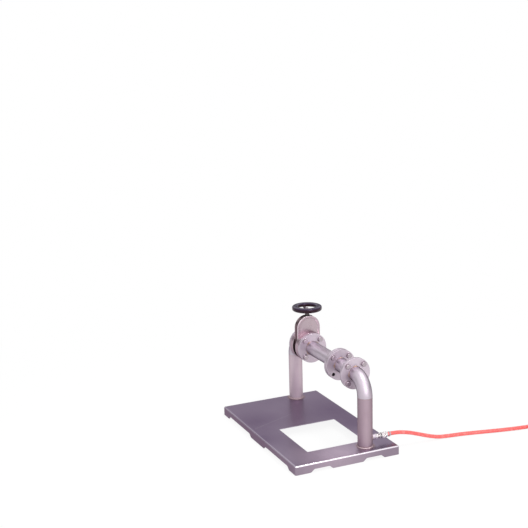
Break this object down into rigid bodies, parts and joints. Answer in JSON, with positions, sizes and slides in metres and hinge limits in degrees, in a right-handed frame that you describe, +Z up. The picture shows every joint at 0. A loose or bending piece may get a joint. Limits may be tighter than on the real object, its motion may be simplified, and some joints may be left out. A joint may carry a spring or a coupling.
{
  "type": "gas-fed valve prop",
  "caption": "Steel pipe bridge with gate valve, bolted flanges and black handwheel on a folded tray, fed by a red gas hose.",
  "frame": {"origin": "middle of the tray's footprint, on the floor", "axes": "+X along the tray and the pipes towards the stand that takes the gas, +Y towards the hose's side, +Z up"},
  "size_m": [0.9982, 1.3479, 0.4932],
  "materials": {
    "brushed_steel": "satin, brushed and pickled",
    "cast_steel": "cast, ground on the face",
    "blackened_steel": "blackened, slightly oily",
    "bolt_steel": "bright machined",
    "gasket_graphite": "matt graphite",
    "seat_plastic": "smooth",
    "brass": "machined",
    "black_gloss": "gloss",
    "nickel_plate": "bright plated",
    "hose_red": "smooth, slight sheen"
  },
  "bodies": {
    "stand": {"base_tray": "brushed_steel", "stand_left": "brushed_steel", "stand_right": "brushed_steel", "elbow_left": "brushed_steel", "elbow_right": "brushed_steel", "spool_pipe": "brushed_steel", "run_pipe": "brushed_steel", "elbow_flange": "brushed_steel", "pair_flange_near": "brushed_steel", "pair_flange_far": "brushed_steel", "run_flange": "brushed_steel", "left_flange": "brushed_steel", "inlet_socket": "brushed_steel", "valve_body_near": "cast_steel", "valve_body_far": "cast_steel", "stuffing_box": "blackened_steel", "gland_nut": "blackened_steel", "elbow_joint_bolt_1": "bolt_steel", "elbow_joint_bolt_2": "bolt_steel", "elbow_joint_bolt_3": "bolt_steel", "elbow_joint_bolt_4": "bolt_steel", "pair_joint_bolt_1": "bolt_steel", "pair_joint_bolt_2": "bolt_steel", "pair_joint_bolt_3": "bolt_steel", "valve_near_bolt_1": "bolt_steel", "valve_near_bolt_2": "bolt_steel", "valve_near_bolt_3": "bolt_steel", "valve_near_bolt_4": "bolt_steel", "valve_far_bolt_1": "bolt_steel", "valve_far_bolt_2": "bolt_steel", "valve_far_bolt_3": "bolt_steel", "valve_far_bolt_4": "bolt_steel", "coupler_spring": "bolt_steel", "coupler_snap_ring": "bolt_steel", "hose_clamp": "bolt_steel", "pair_gasket": "gasket_graphite", "valve_gasket_near": "gasket_graphite", "valve_gasket_far": "gasket_graphite", "stem_packing": "gasket_graphite", "seat_ring_near": "seat_plastic", "seat_ring_far": "seat_plastic", "hose_end_ferrule": "brass", "hose_end_nut": "brass", "hose_end_nipple": "brass", "inlet_adapter": "nickel_plate", "coupler_barrel": "nickel_plate", "hose_plug": "nickel_plate", "hose_run": "hose_red", "hose_coil": "hose_red"},
    "wheel_and_stem": {"handwheel": "black_gloss", "wheel_washer": "bolt_steel", "wheel_nut": "bolt_steel", "valve_stem": "brushed_steel"},
    "gate": {"gate_plate": "brushed_steel", "gate_lift_nut": "brass"},
    "sleeve": {"coupler_sleeve": "nickel_plate"}
  },
  "joints": [
    {"name": "wheel_turn", "type": "hinge", "parent": "stand", "child": "wheel_and_stem", "pos_m": [-0.2011, 0.107, 0.48], "axis": [0, 0, 1], "range_deg": [0, 3780]},
    {"name": "gate_lift", "type": "slide", "parent": "stand", "child": "gate", "axis": [0, 0, 1], "range_m": [0, 0.0421]},
    {"name": "sleeve_slide", "type": "slide", "parent": "stand", "child": "sleeve", "axis": [0, -1, 0], "range_m": [0, 0.004], "stiffness_N_per_m": 2000, "deforming": ["coupler_spring"]}
  ],
  "couplings": [
    {"joint": "gate_lift", "follows": "wheel_turn", "m_per_rad": 0.00063662}
  ]
}
